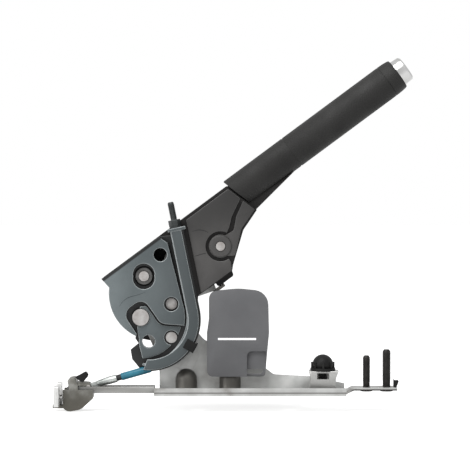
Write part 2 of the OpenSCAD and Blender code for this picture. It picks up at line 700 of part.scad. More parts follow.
// Raised panel of the sector, dished so that it is open towards the sheet behind it
module sector_panel() color([0.27, 0.31, 0.33]) on_lever() {
  panel_mid = [24, 20];
  inner_scale = 0.86;
  window_half = 2;
  window_r = 10.8;
  difference() {
    plate(panel_front, sheet_front) panel_outline();
    plate(panel_front + sector_t, sheet_front + 1) translate(panel_mid) scale(inner_scale)
      translate(-panel_mid) panel_outline();
    across(cross_rivet, cross_collar_r + 1, panel_front + 1, 0);
    translate([cross_rivet[0], 0, cross_rivet[1]]) rotate([0, lever_tilt, 0])
      for (z = [-window_half, window_half]) across([0, z], window_r, panel_front - 1, 0);
    across(spare_hole, spare_hole_r, panel_front - 1, 0);
    across(sector_rivets_at[0], sector_window_r, panel_front - 1, 0);
    across([0, 0], pin_head_r + 1, panel_front - 1, 0);
  }
}
module lower_panel() color([0.27, 0.31, 0.33]) on_lever() difference() {
  plate(sheet_front - lower_panel_rise, sheet_front) lower_panel_outline();
  across([0, 0], pin_head_r + 0.6, panel_front, 0);
  across(sight_hole, sight_hole_r, panel_front, 0);
  across(sector_rivets_at[1], sector_window_r, panel_front, 0);
}
module sector_rivets() color([0.66, 0.65, 0.63]) on_lever() for (p = sector_rivets_at) {
  across(p, sector_rivet_r, sheet_front, -arm_in);
  across(p, sector_rivet_head_r, sheet_front - 2, sheet_front);
  across(p, sector_rivet_head_r - 1, -arm_in, -arm_in + 1.5);
}
module cross_rivet_pin() color([0.66, 0.65, 0.63]) on_lever() {
  across(cross_rivet, cross_rivet_r, near_face - cross_washer_t - 3, arm_w / 2 + 0.1);
  across(cross_rivet, cross_collar_r, arm_w / 2, arm_w / 2 + 2);
}
module cross_washer() color([0.3, 0.3, 0.3]) on_lever()
  ring_across(cross_rivet, cross_collar_r, cross_rivet_r + seat_fit,
    near_face - cross_washer_t, near_face);
module pivot_bushes() color([0.85, 0.84, 0.8]) on_lever() {
  ring_across([0, 0], bush_r, pivot_r + run_fit, sheet_front, -arm_in);
  ring_across([0, 0], bush_r, pivot_r + run_fit, arm_in, arm_w / 2);
}
module pawl_pin_rivet() color([0.6, 0.6, 0.6]) on_lever() {
  across(pawl_pin, pawl_pin_r, near_face - pawl_pad_t - pawl_washer_t - 0.8, arm_w / 2 + 0.1);
  across(pawl_pin, pawl_boss_r, arm_w / 2, arm_w / 2 + 1.5);
}
module pawl_washer() color([0.2, 0.19, 0.185]) on_lever() ring_across(pawl_pin, pawl_boss_r,
  pawl_pin_r + seat_fit, near_face - pawl_pad_t - pawl_washer_t, near_face - pawl_pad_t);
module stop_bumper() color([0.05, 0.05, 0.05]) on_lever() {
  half = arm_in - 0.02;
  plate(-half, -web_t / 2 - rivet_head_t - pass_gap) polygon(rounded([
    [stop_tab_x + 7, bumper_low, 2], [stop_tab_x + 26, bumper_low, 2], [stop_tab_x + 28, -15, 2],
    [stop_tab_x + 24, -9, 1], [stop_tab_x + 7, -9, 1]]));
}

module handle_tube() color([0.3, 0.3, 0.3]) on_grip(arm_length - bulkhead_t) difference() {
  length = tube_end - arm_length + bulkhead_t;
  cylinder(r = tube_r, h = length);
  translate([0, 0, -1]) cylinder(r = tube_r - tube_wall, h = length + 2);
}
module rod_guide() color([0.8, 0.8, 0.78]) on_grip(spring_from - rod_guide_t) difference() {
  cylinder(r = tube_r - tube_wall - seat_fit, h = rod_guide_t);
  translate([0, 0, -1]) cylinder(r = rod_r + run_fit, h = rod_guide_t + 2);
}
module grip() color([0.07, 0.07, 0.07]) on_grip(grip_start) {
  bore = tube_r + seat_fit;
  mouth = button_r + 0.6;
  mouth_depth = button_travel + 2;
  seam_depth = 0.5;
  nose = 13;
  seams = [grip_length - 132, grip_length - nose];
  wall_points = [for (s = seams) each [[grip_r, s - 1], [grip_r - seam_depth, s], [grip_r, s + 1]]];
  nose_points = [for (i = [0 : 6]) let (a = 90 * i / 6)
    [mouth + 1.2 + (grip_r - mouth - 1.2) * cos(a), grip_length - nose + nose * sin(a)]];
  difference() {
    rotate_extrude() polygon(concat([[bore, 0], [grip_r - 1, 0], [grip_r, 1]], wall_points, nose_points,
      [[mouth, grip_length], [mouth, grip_length - mouth_depth], [bore, grip_length - mouth_depth]]));
    grip_start_cut();
  }
}
module release_button() color([0.8, 0.8, 0.82]) on_grip(button_seat) {
  rim = 1.5;
  stem_r = tube_r - tube_wall - run_fit;
  difference() {
    rotate_extrude() polygon([[0, -stem_len], [stem_r, -stem_len], [stem_r, 0], [button_r, 0],
      [button_r - 0.6, button_head - rim], [button_r - 0.6 - rim, button_head], [0, button_head]]);
    translate([0, 0, -stem_len - 1]) cylinder(r = rod_r + seat_fit, h = rod_lap + 1);
  }
}
module release_rod() color([0.62, 0.62, 0.6]) on_grip(rod_tip)
  cylinder(r = rod_r, h = button_seat - stem_len + rod_lap - rod_tip);
module release_spring() color([0.6, 0.6, 0.6]) {
  end_gap = 0.1;
  coil_r = 6;
  room = button_seat - stem_len - spring_from - 2 * (spring_wire_r + end_gap);
  on_grip(spring_from + spring_wire_r + end_gap)
    coil(coil_r, spring_wire_r, spring_turns, room / spring_turns);
}

module adjuster_stud() color([0.24, 0.26, 0.26]) {
  chamfer = 1;
  top = adjuster_len + nut_h + stud_above_nut;
  on_adjuster(crimp_len) cylinder(r = adjuster_r, h = top - crimp_len - chamfer);
  on_adjuster(top - chamfer) cylinder(r1 = adjuster_r, r2 = adjuster_r - chamfer * 0.8, h = chamfer);
}
module adjuster_washer() color([0.35, 0.36, 0.36]) on_adjuster(adjuster_len - washer_t) difference() {
  cylinder(r = nut_r - 0.2, h = washer_t);
  translate([0, 0, -1]) cylinder(r = adjuster_r + seat_fit, h = washer_t + 2);
}
module adjuster_nut() color([0.3, 0.31, 0.31]) on_adjuster(adjuster_len) difference() {
  cylinder(r = nut_r, h = nut_h, $fn = 6);
  translate([0, 0, -1]) cylinder(r = adjuster_r + seat_fit, h = nut_h + 2);
}
module cable_wrap() color([0.08, 0.08, 0.08]) {
  gap_angle = run_gap / cable_path_r * 180 / PI;
  start = touch_angle + gap_angle;
  on_lever() translate([0, cable_y, 0]) rotate([90, 0, 0]) rotate([0, 0, start])
    rotate_extrude(angle = -adjuster_angle - start) translate([cable_path_r, 0]) circle(r = cable_r);
}
// Crimped end that joins the cable to the adjuster's stud
module cable_crimp() color([0.3, 0.31, 0.31]) on_adjuster(0) cylinder(r = cable_r + 0.3, h = crimp_len);
module cable_clip() color([0.05, 0.05, 0.05]) on_lever() rotate([0, -clip_angle, 0]) {
  half = 5;
  wall = 1.6;
  reach = rim_reach(far_flange_r, clip_angle) + 1;
  rim_r = rim_reach(rim_out, clip_angle);
  front = rim_front - rim_proud - wall;
  translate([reach, front, -half]) cube([wall, near_face - front, 2 * half]);
  translate([rim_r - 7, front, -half]) cube([reach - rim_r + 7 + wall / 2, wall, 2 * half]);
}

// Pawl: boss on its pin, nose over the ratchet, and a tail that the rod pushes
module pawl_outline() {
  nose = polar(ratchet_r + pass_gap, nose_angle);
  tail_x = rod_tip - 0.8;
  polygon(rounded([[nose[0], nose[1], 0], [nose[0] + 7, nose[1] - 4, 2],
    [pawl_pin[0] + 6, pawl_pin[1] - 8, 6], [pawl_pin[0] + 9, pawl_pin[1] + 6, 6],
    [tail_x, grip_axis - 8, 4], [tail_x, grip_axis + 4, 2], [tail_x - 7, grip_axis + 4, 2],
    [pawl_pin[0] - 6, pawl_pin[1] + 10, 10],
    [nose[0] + 2, nose[1] + 6, 3]]));
}
module pawl() color([0.45, 0.45, 0.45]) on_lever() difference() {
  union() {
    plate(pawl_y, pawl_y + pawl_t) pawl_outline();
    across(pawl_pin, 8, pawl_y - 2, pawl_y + pawl_t + 2);
  }
  across(pawl_pin, pawl_pin_r + run_fit, -arm_w, arm_w);
}
module pawl_spring() color([0.6, 0.6, 0.6]) on_lever()
  translate([pawl_pin[0], -10.5, pawl_pin[1]]) rotate([-90, 0, 0]) coil(5.6, 0.7, 5, 1.8);

// Slider: a scoop under the rail with cheeks beside it and a saddle over it
module slider() color([0.6, 0.6, 0.58]) {
  low = -17.5;
  top = rail_z - slider_gap;
  front = slider_x0 + slider_len;
  saddle = [slider_x0 + 6, slider_x0 + 15];
  scoop = [[slider_x0, top, 0], [slider_x0, -13, 2], [slider_x0 + 4, low, 8], [slider_x0 + 18, -15, 12],
    [front, -4, 2], [front, top, 0]];
  lug_t = 2.8;
  lug_y = [-cable_r - 0.6 - lug_t, cable_r + 0.6];
  hollow = 0.86;
  cheek_h = 5;
  translate([0, cable_y, 0]) {
    difference() {
      plate(-slider_out, slider_out) union() {
        polygon(rounded(scoop));
        translate([slider_x0, top - 1]) square([slider_len, cheek_h]);
        translate([saddle[0], top]) square([saddle[1] - saddle[0], saddle_z + slider_t - top]);
      }
      translate([slider_x0 - 1, -slider_in, top]) cube([slider_len + 2, 2 * slider_in, saddle_z - top]);
      plate(-slider_in, slider_in) translate([slider_x0 + slider_t, -2 * slider_t])
        scale(hollow) translate([-slider_x0, 0]) polygon(rounded(scoop));
    }
    difference() {
      translate([yoke_x - yoke_boss_r - 1, -yoke_boss_r - 1, yoke_low - yoke_gap - tongue_t])
        cube([slider_x0 - yoke_x + yoke_boss_r + 3, 2 * yoke_boss_r + 2, tongue_t]);
      translate([yoke_x, 0, -30]) cylinder(r = yoke_pin_r + seat_fit, h = 40);
    }
    plate(-slider_out, slider_out) polygon(rounded([[saddle[0], saddle_z, 0], [saddle[0] - 2, 15, 3],
      [saddle[0] + 6, 17, 3], [saddle[1], saddle_z, 0]]));
    for (y = lug_y) plate(y, y + lug_t) difference() {
      polygon(rounded([[saddle[0] + 4, saddle_z + 4, 0], [saddle[1], saddle_z + 4, 0],
        [eye_x + 2, eye_z + 4, 3], [eye_x + 4, eye_z - eye_r, 2], [eye_x - 4, eye_z - eye_r, 2],
        [saddle[0] + 7, saddle_z, 2], [saddle[0] + 4, saddle_z, 0]]));
      translate([eye_x, eye_z]) circle(r = slider_pin_r + seat_fit);
    }
  }
}
module slider_pin() color("silver")
  across([eye_x, eye_z], slider_pin_r, cable_y - cable_r - 3.4, cable_y + cable_r + 3.4);
module slider_clip() color([0.05, 0.05, 0.05]) {
  x = slider_x0;
  wing = [[x + 14, 15, 0], [x + 12, 17.2, 0], [x + 16, 19, 2], [x + 23, 23, 2], [x + 26, 19, 3],
    [x + 21, 13, 3], [x + 19, 12, 1]];
  plate(cable_y - rail_w / 2, cable_y - cable_r - 1.5) polygon(rounded(wing));
}
module equaliser_yoke() color([0.78, 0.78, 0.78]) translate([yoke_x, cable_y, 0]) difference() {
  union() {
    difference() {
      translate([-yoke_t / 2, -yoke_half, yoke_low]) cube([yoke_t, 2 * yoke_half, yoke_h]);
      translate([-yoke_t, -slider_in - 1, yoke_low + yoke_boss_h])
        cube([2 * yoke_t, 2 * slider_in + 2, yoke_h]);
    }
    translate([-yoke_boss_r, -yoke_boss_r, yoke_low])
      cube([2 * yoke_boss_r, 2 * yoke_boss_r, yoke_boss_h]);
  }
  for (side = [-1, 1]) translate([-yoke_t, side * nipple_y, nipple_z]) rotate([0, 90, 0])
    cylinder(r = nipple_r, h = 2 * yoke_t);
  translate([0, 0, yoke_low - 1]) cylinder(r = yoke_pin_r + run_fit, h = yoke_h + 2);
}
module yoke_pin() color("silver") translate([yoke_x, cable_y, 0]) {
  head_t = 1.6;
  foot = yoke_low - yoke_gap - tongue_t;
  translate([0, 0, foot]) cylinder(r = yoke_pin_r, h = yoke_low + yoke_boss_h + yoke_gap - foot);
  translate([0, 0, yoke_low + yoke_boss_h + yoke_gap]) cylinder(r = yoke_boss_r, h = head_t);
}

module cable_run() color([0.08, 0.08, 0.08]) on_run(ferrule_end)
  cylinder(r = cable_r, h = run_len - ferrule_end - run_gap);
module cable_sleeve() color([0.05, 0.42, 0.6]) on_run(sleeve_from) difference() {
  cylinder(r = sleeve_r, h = sleeve_to - sleeve_from);
  translate([0, 0, -1]) cylinder(r = cable_r + seat_fit, h = sleeve_to - sleeve_from + 2);
}
module cable_ferrule() color([0.75, 0.77, 0.75]) {
  difference() {
    union() {
      across([eye_x, eye_z], eye_r, cable_y - cable_r + 0.1, cable_y + cable_r - 0.1);
      on_run(0) translate([-2.4, -2.4, 2]) cube([4.8, 4.8, ferrule_start - 1]);
      on_run(ferrule_start) cylinder(r1 = 2.8, r2 = cable_r + 0.9, h = 12);
      on_run(ferrule_start + 12) cylinder(r = cable_r + 0.9, h = ferrule_end - ferrule_start - 12);
    }
    across([eye_x, eye_z], slider_pin_r + run_fit, cable_y - 10, cable_y + 10);
  }
}

floor_bracket();
tail_rail();
rear_foot();
console_bridge();
push_clip();
rear_console_stud();
front_console_stud();
stud_lug();
side_cover();
pivot_pin();
pivot_spacers();
ratchet_plate();
ratchet_rivets();
lever_arm();
arm_doubler();
pawl_pad();
cable_sector();
sector_panel();
lower_panel();
sector_rivets();
cross_rivet_pin();
cross_washer();
pivot_bushes();
pawl_pin_rivet();
pawl_washer();
stop_bumper();
handle_tube();
rod_guide();
grip();
release_spring();
adjuster_stud();
adjuster_nut();
adjuster_washer();
cable_wrap();
cable_crimp();
cable_clip();
pawl();
pawl_spring();
release_button();
release_rod();
slider();
slider_clip();
slider_pin();
equaliser_yoke();
yoke_pin();
cable_run();
cable_sleeve();
cable_ferrule();
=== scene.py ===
import math

import bmesh
import bpy
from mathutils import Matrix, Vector


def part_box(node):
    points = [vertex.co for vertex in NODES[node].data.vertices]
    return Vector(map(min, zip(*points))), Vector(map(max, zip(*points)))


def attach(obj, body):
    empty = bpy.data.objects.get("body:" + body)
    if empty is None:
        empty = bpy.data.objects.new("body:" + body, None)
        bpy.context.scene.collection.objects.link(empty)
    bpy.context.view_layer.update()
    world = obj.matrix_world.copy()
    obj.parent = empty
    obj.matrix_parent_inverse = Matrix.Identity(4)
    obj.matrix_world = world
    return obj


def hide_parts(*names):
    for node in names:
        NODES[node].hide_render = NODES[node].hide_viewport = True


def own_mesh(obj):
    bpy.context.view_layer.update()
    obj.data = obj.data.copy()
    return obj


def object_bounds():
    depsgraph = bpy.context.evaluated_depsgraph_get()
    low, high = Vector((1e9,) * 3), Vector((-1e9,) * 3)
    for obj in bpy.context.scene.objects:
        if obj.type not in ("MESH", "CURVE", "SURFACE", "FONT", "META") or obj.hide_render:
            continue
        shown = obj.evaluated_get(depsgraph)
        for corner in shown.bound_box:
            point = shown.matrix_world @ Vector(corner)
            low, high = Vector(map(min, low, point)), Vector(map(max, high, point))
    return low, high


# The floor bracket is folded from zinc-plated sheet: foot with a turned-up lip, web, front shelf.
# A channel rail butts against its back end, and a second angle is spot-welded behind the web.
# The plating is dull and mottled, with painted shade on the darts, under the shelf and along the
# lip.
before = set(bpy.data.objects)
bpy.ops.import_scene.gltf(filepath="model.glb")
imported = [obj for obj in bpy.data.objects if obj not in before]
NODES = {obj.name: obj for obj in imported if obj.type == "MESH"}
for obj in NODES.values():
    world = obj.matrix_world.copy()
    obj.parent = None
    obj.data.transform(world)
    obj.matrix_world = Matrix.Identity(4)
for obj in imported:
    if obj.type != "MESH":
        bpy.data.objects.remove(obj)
cad_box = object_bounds()
MM = 0.001


def new_finish(name, color, roughness, metallic=0.0, specular=0.5):
    """Makes a plain shader and returns the material, its tree and its shader."""
    material = bpy.data.materials.new(name)
    material.use_nodes = True
    tree = material.node_tree
    shader = tree.nodes["Principled BSDF"]
    shader.inputs["Base Color"].default_value = (*color, 1.0)
    shader.inputs["Roughness"].default_value = roughness
    shader.inputs["Metallic"].default_value = metallic
    shader.inputs["Specular IOR Level"].default_value = specular
    return material, tree, shader


def noise(tree, scale, detail, stretch=(1.0, 1.0, 1.0)):
    """A noise pattern fixed to the piece, with stretch along its axes."""
    place = tree.nodes.new("ShaderNodeTexCoord")
    spread = tree.nodes.new("ShaderNodeMapping")
    spread.inputs["Scale"].default_value = stretch
    pattern = tree.nodes.new("ShaderNodeTexNoise")
    pattern.inputs["Scale"].default_value = scale
    pattern.inputs["Detail"].default_value = detail
    tree.links.new(place.outputs["Object"], spread.inputs["Vector"])
    tree.links.new(spread.outputs["Vector"], pattern.inputs["Vector"])
    return pattern.outputs["Fac"]


def grain(tree, shader, scale, depth_mm, detail=4.0, stretch=(1.0, 1.0, 1.0), strength=0.6):
    """Adds a fine surface grain as bump."""
    bump = tree.nodes.new("ShaderNodeBump")
    bump.inputs["Distance"].default_value = depth_mm * MM
    bump.inputs["Strength"].default_value = strength
    tree.links.new(noise(tree, scale, detail, stretch), bump.inputs["Height"])
    tree.links.new(bump.outputs["Normal"], shader.inputs["Normal"])


def tones(tree, shader, scale, stops, detail=6.0, stretch=(1.0, 1.0, 1.0)):
    """Varies the colour over the surface: stops are (position, colour)."""
    ramp = tree.nodes.new("ShaderNodeValToRGB")
    band = ramp.color_ramp
    while len(band.elements) < len(stops):
        band.elements.new(0.5)
    for element, (position, color) in zip(band.elements, stops):
        element.position = position
        element.color = (*color, 1.0)
    tree.links.new(noise(tree, scale, detail, stretch), ramp.inputs["Fac"])
    tree.links.new(ramp.outputs["Color"], shader.inputs["Base Color"])


def fade(tree, value, start, full, low=0.0, high=1.0):
    """Goes from low to high while a value goes from start to full."""
    level = tree.nodes.new("ShaderNodeMapRange")
    level.inputs["From Min"].default_value = start
    level.inputs["From Max"].default_value = full
    level.inputs["To Min"].default_value = low
    level.inputs["To Max"].default_value = high
    tree.links.new(value, level.inputs["Value"])
    return level.outputs["Result"]


def gloss(tree, shader, scale, low, high):
    """Varies the roughness between two levels."""
    level = fade(tree, noise(tree, scale, 5.0), 0.3, 0.7, low, high)
    tree.links.new(level, shader.inputs["Roughness"])


def zone(tree, axis, start_mm, full_mm):
    """Fades from 0 to 1 between two places along an axis of the assembly."""
    place = tree.nodes.new("ShaderNodeTexCoord")
    split = tree.nodes.new("ShaderNodeSeparateXYZ")
    tree.links.new(place.outputs["Object"], split.inputs["Vector"])
    return fade(tree, split.outputs[axis], start_mm * MM, full_mm * MM)


def blend_tone(tree, shader, amounts, color):
    """Blends the colour towards another one by the product of the amounts."""
    amount = amounts[0]
    for further in amounts[1:]:
        both = tree.nodes.new("ShaderNodeMath")
        both.operation = "MULTIPLY"
        tree.links.new(amount, both.inputs[0])
        tree.links.new(further, both.inputs[1])
        amount = both.outputs["Value"]
    mix = tree.nodes.new("ShaderNodeMix")
    mix.data_type = "RGBA"
    tree.links.new(amount, mix.inputs["Factor"])
    tree.links.new(shader.inputs["Base Color"].links[0].from_socket, mix.inputs[6])
    mix.inputs[7].default_value = (*color, 1.0)
    tree.links.new(mix.outputs[2], shader.inputs["Base Color"])


def zone_tint(tree, shader, zones, color):
    """Blends in a colour where zones overlap: each is (axis, start, full) in millimetres."""
    blend_tone(tree, shader, [zone(tree, *reach) for reach in zones], color)


def dress(names, material, edge_mm=0.4, steps=2):
    """Gives CAD pieces their finish, and breaks their sharp edges."""
    for name in names:
        piece = NODES[name]
        piece.data.materials.clear()
        piece.data.materials.append(material)
        if edge_mm:
            weld = piece.modifiers.new("weld", "WELD")
            weld.merge_threshold = 0.01 * MM
            bevel = piece.modifiers.new("edge", "BEVEL")
            bevel.width = edge_mm * MM
            bevel.segments = steps
            bevel.limit_method = "ANGLE"
            bevel.angle_limit = math.radians(40)
            bevel.harden_normals = True
            piece.data.shade_smooth()


# Painted shade: the darts at the foot of the web are darkened where they fall in shade.
DART_SHADE = [("Y", -2.5, -6.0), ("Y", -30.0, -26.0), ("X", 60.0, 40.0), ("Z", 2.6, 4.0)]
# Painted shade: the lower half of the shelf's front edge is darkened as the shade under it.
SHELF_UNDERSIDE_SHADE = [("X", 108.0, 113.0), ("Z", 5.7, 4.9)]
# Painted shadow: a dark line along the gap between the lip and the foot sheet.
LIP_SHADOW_LINE = [("X", 106.0, 105.0), ("Y", -44.5, -45.5), ("Z", 2.1, 2.5), ("Z", 3.5, 3.1)]
RAIL_END = [("X", -128.0, -160.0)]

zinc, tree, shader = new_finish("zinc_plate", (0.45, 0.46, 0.45), 0.45, 0.55)
tones(tree, shader, 34.0, [(0.28, (0.19, 0.18, 0.165)), (0.42, (0.36, 0.36, 0.35)),
                           (0.6, (0.47, 0.475, 0.465)), (0.75, (0.56, 0.56, 0.55))], 8.0)
# The three darker zones below are painted shade, not stains on the plating.
zone_tint(tree, shader, DART_SHADE, (0.11, 0.105, 0.095))
zone_tint(tree, shader, SHELF_UNDERSIDE_SHADE, (0.02, 0.018, 0.016))
zone_tint(tree, shader, LIP_SHADOW_LINE, (0.1, 0.095, 0.09))
gloss(tree, shader, 60.0, 0.34, 0.58)
grain(tree, shader, 260.0, 0.12)
dress(["floor_bracket", "rear_foot"], zinc, 0.6)
rail_zinc, tree, shader = new_finish("rail_zinc", (0.36, 0.36, 0.35), 0.38, 0.6)
tones(tree, shader, 30.0, [(0.3, (0.15, 0.145, 0.135)), (0.48, (0.3, 0.3, 0.29)),
                           (0.7, (0.44, 0.44, 0.43))], 6.0, (0.3, 1.0, 1.0))
zone_tint(tree, shader, RAIL_END, (0.13, 0.13, 0.125))
grain(tree, shader, 200.0, 0.08, 4.0, (0.1, 1.0, 1.0))
dress(["tail_rail", "console_bridge"], rail_zinc, 0.5)

# Two threaded studs stand on the front shelf for the console, both phosphated black.
# Each is clinched into the shelf from below, with its head against the sheet.
REAR_STUD_R = 3.35
FRONT_STUD_R = 3.75
STUD_PITCH = 1.25
STUD_RIDGE = 0.35
STUD_TIP = 1.5
THREADED_SHARE = 0.72

stud_black, tree, shader = new_finish("stud_black", (0.014, 0.013, 0.012), 0.5, 0.3, 0.3)
tones(tree, shader, 150.0, [(0.35, (0.01, 0.009, 0.008)), (0.7, (0.024, 0.022, 0.02))])
grain(tree, shader, 600.0, 0.08)
dress(["rear_console_stud", "front_console_stud"], stud_black, 0.3)


def skin(name, rings):
    """A closed piece skinned over rings of points, which are in millimetres."""
    mesh = bmesh.new()
    rows = [[mesh.verts.new(point) for point in ring] for ring in rings]
    for low, high in zip(rows, rows[1:]):
        for k in range(len(low)):
            n = (k + 1) % len(low)
            mesh.faces.new([low[k], low[n], high[n], high[k]])
    mesh.faces.new(rows[0])
    mesh.faces.new(list(reversed(rows[-1])))
    bmesh.ops.recalc_face_normals(mesh, faces=mesh.faces)
    bmesh.ops.scale(mesh, vec=(MM, MM, MM), verts=mesh.verts)
    data = bpy.data.meshes.new(name)
    mesh.to_mesh(data)
    mesh.free()
    piece = bpy.data.objects.new(name, data)
    bpy.context.scene.collection.objects.link(piece)
    return piece


def thread(name, foot, axis, radius, length, pitch, ridge):
    """A screw thread's ridge wound round a stud, tapering away at both ends."""
    side = axis.orthogonal().normalized()
    other = axis.cross(side)
    per_turn = 28
    count = int(length / pitch * per_turn)
    root = radius - 0.05
    flank = 0.42 * pitch
    flat = 0.25 * flank
    rings = []
    for i in range(count + 1):
        angle = 2.0 * math.pi * i / per_turn
        crest = radius + ridge * min(1.0, i / per_turn, (count - i) / per_turn)
        out = side * math.cos(angle) + other * math.sin(angle)
        middle = foot + axis * (length * i / count)
        section = ((-flank, root), (-flat, crest), (flat, crest), (flank, root))
        rings.append([middle + axis * along + out * reach for along, reach in section])
    return skin(name, rings)


def stud_thread(name, node, radius):
    """Threads the upper part of an upright stud, up to its tip."""
    low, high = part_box(node)
    length = (high[2] - low[2]) / MM * THREADED_SHARE
    foot = Vector(((low[0] + high[0]) / 2.0 / MM, (low[1] + high[1]) / 2.0 / MM,
                   high[2] / MM - STUD_TIP - length))
    upright = Vector((0.0, 0.0, 1.0))
    piece = thread(name, foot, upright, radius, length, STUD_PITCH, STUD_RIDGE)
    piece.data.materials.append(stud_black)
    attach(piece, "base")


stud_thread("rear_stud_thread", "rear_console_stud", REAR_STUD_R)
stud_thread("front_stud_thread", "front_console_stud", FRONT_STUD_R)

# A black push clip sits in the bridge, and a small black lug stands beside the tall stud.
# They and the clips of slider and cable are moulded in black nylon with a dull skin.
black_nylon, tree, shader = new_finish("black_nylon", (0.005, 0.005, 0.005), 0.55, 0.0, 0.2)
tones(tree, shader, 60.0, [(0.35, (0.0035, 0.0035, 0.0033)), (0.7, (0.008, 0.008, 0.0078))])
grain(tree, shader, 500.0, 0.06)
dress(["push_clip", "stud_lug", "slider_clip", "cable_clip"], black_nylon, 0.4)

# The side cover is a mid-grey moulded plastic shield, pegged to the bracket's web.
# Its face is matte and lightly textured, a little scuffed.
cover_grey, tree, shader = new_finish("cover_grey", (0.13, 0.13, 0.135), 0.62, 0.0, 0.35)
tones(tree, shader, 16.0, [(0.3, (0.098, 0.099, 0.104)), (0.5, (0.122, 0.123, 0.128)),
                           (0.7, (0.142, 0.143, 0.148))], 7.0)
grain(tree, shader, 420.0, 0.07)
dress(["side_cover"], cover_grey, 0.9, 3)

# Pins and rivets are plain steel with a pale, slightly warm plating, dull from handling.
# The ratchet and pawl are hardened and darker, and the bushes are off-white plastic.
pin_steel, tree, shader = new_finish("pin_steel", (0.36, 0.34, 0.33), 0.5, 0.5)
tones(tree, shader, 120.0, [(0.3, (0.27, 0.25, 0.24)), (0.5, (0.35, 0.335, 0.325)),
                            (0.72, (0.45, 0.44, 0.43))], 7.0)
gloss(tree, shader, 200.0, 0.4, 0.62)
grain(tree, shader, 380.0, 0.12)
dress(["pivot_pin", "pivot_spacers", "ratchet_rivets", "sector_rivets", "cross_rivet_pin",
       "pawl_pin_rivet", "slider_pin", "yoke_pin", "release_rod"], pin_steel, 0.8, 3)
dress(["pawl_spring"], pin_steel, 0)
hard_steel, tree, shader = new_finish("hard_steel", (0.22, 0.22, 0.21), 0.4, 0.85)
tones(tree, shader, 90.0, [(0.35, (0.16, 0.155, 0.15)), (0.7, (0.27, 0.265, 0.26))])
dress(["ratchet_plate", "pawl"], hard_steel, 0.2)
bush_white, tree, shader = new_finish("bush_white", (0.6, 0.59, 0.54), 0.5)
tones(tree, shader, 70.0, [(0.35, (0.52, 0.5, 0.45)), (0.7, (0.64, 0.63, 0.58))])
dress(["pivot_bushes", "rod_guide"], bush_white, 0.2)

# The lever is a pressed steel channel in satin black coat, with a doubler on its near wall.
# It is darker towards the grip, painted near-black in the grooves as shade, and painted paler
# along the edges that stand proud as a highlight.
ARM_UPPER_END = [("Z", 135.0, 200.0)]
ARM_GROOVE_SHADE = [("Y", -16.9, -15.9)]
ARM_PROUD = ("Y", -17.0, -17.5)
EDGE_STARTS = 0.985
EDGE_HIGHLIGHT_FULL = 0.82


def round_and_highlight_edges(tree, shader, radius_mm, proud, color):
    """Rounds sharp edges in the shading, and paints them paler in the proud zone as a highlight.

    An edge is where the rounded surface turns away from the face: the cosine tells how far.
    """
    rounding = tree.nodes.new("ShaderNodeBevel")
    rounding.samples = 8
    rounding.inputs["Radius"].default_value = radius_mm * MM
    surface = tree.nodes.new("ShaderNodeNewGeometry")
    turned = tree.nodes.new("ShaderNodeVectorMath")
    turned.operation = "DOT_PRODUCT"
    tree.links.new(rounding.outputs["Normal"], turned.inputs[0])
    tree.links.new(surface.outputs["Normal"], turned.inputs[1])
    edge = fade(tree, turned.outputs["Value"], EDGE_STARTS, EDGE_HIGHLIGHT_FULL)
    blend_tone(tree, shader, [edge, zone(tree, *proud)], color)
    bump = shader.inputs["Normal"].links[0].from_node
    tree.links.new(rounding.outputs["Normal"], bump.inputs["Normal"])


arm_coat, tree, shader = new_finish("arm_coat", (0.046, 0.042, 0.041), 0.5, 0.0, 0.4)
tones(tree, shader, 14.0, [(0.3, (0.026, 0.025, 0.024)), (0.5, (0.046, 0.044, 0.043)),
                           (0.7, (0.078, 0.075, 0.073))], 6.0)
zone_tint(tree, shader, ARM_UPPER_END, (0.013, 0.0125, 0.012))
# Painted shade: the coat goes near-black on the groove floors.
zone_tint(tree, shader, ARM_GROOVE_SHADE, (0.004, 0.0037, 0.0035))
gloss(tree, shader, 45.0, 0.42, 0.6)
grain(tree, shader, 320.0, 0.07)
# Painted highlight: the doubler's proud edges are painted paler where they catch the light.
round_and_highlight_edges(tree, shader, 1.2, ARM_PROUD, (0.12, 0.117, 0.115))
dress(["arm_doubler", "pawl_pad", "pawl_washer"], arm_coat, 0.9, 3)
channel_coat, tree, shader = new_finish("channel_coat", (0.008, 0.0075, 0.007), 0.55, 0.0, 0.22)
tones(tree, shader, 24.0, [(0.35, (0.006, 0.0056, 0.0053)), (0.7, (0.013, 0.012, 0.0115))])
grain(tree, shader, 300.0, 0.06)
dress(["lever_arm", "handle_tube"], channel_coat, 0.6, 3)

# The cable sector is a second pressing in a bluer, glossier grey-black coat.
# Its raised panels and rim have wide rolled edges, rounded in the shading and painted paler as a
# highlight; the coat is painted darker towards the grip side and black in the grooves as shade,
# and the upper panel's coat is black along the channel's top fold.
PIVOT = Vector((-99.0, 0.0, 76.0))
LEVER_TILT = math.radians(36.5)
ALONG_LEVER = Vector((math.cos(LEVER_TILT), 0.0, math.sin(LEVER_TILT)))
ABOVE_LEVER = Vector((-math.sin(LEVER_TILT), 0.0, math.cos(LEVER_TILT)))
TOP_FOLD_FROM = 50.3
TOP_FOLD_FULL = 51.2
SECTOR_SHADED_SIDE = [("X", -122.0, -50.0)]
PROUD_FROM = 1.4
PROUD_FULL = 0.6


def lever_zone(tree, start_mm, full_mm):
    """Fades from 0 to 1 between two heights above the pivot, square to the lever."""
    place = tree.nodes.new("ShaderNodeTexCoord")
    height = tree.nodes.new("ShaderNodeVectorMath")
    height.operation = "DOT_PRODUCT"
    height.inputs[1].default_value = ABOVE_LEVER
    tree.links.new(place.outputs["Object"], height.inputs[0])
    pivot_height = PIVOT.dot(ABOVE_LEVER)
    return fade(tree, height.outputs["Value"],
                (start_mm + pivot_height) * MM, (full_mm + pivot_height) * MM)
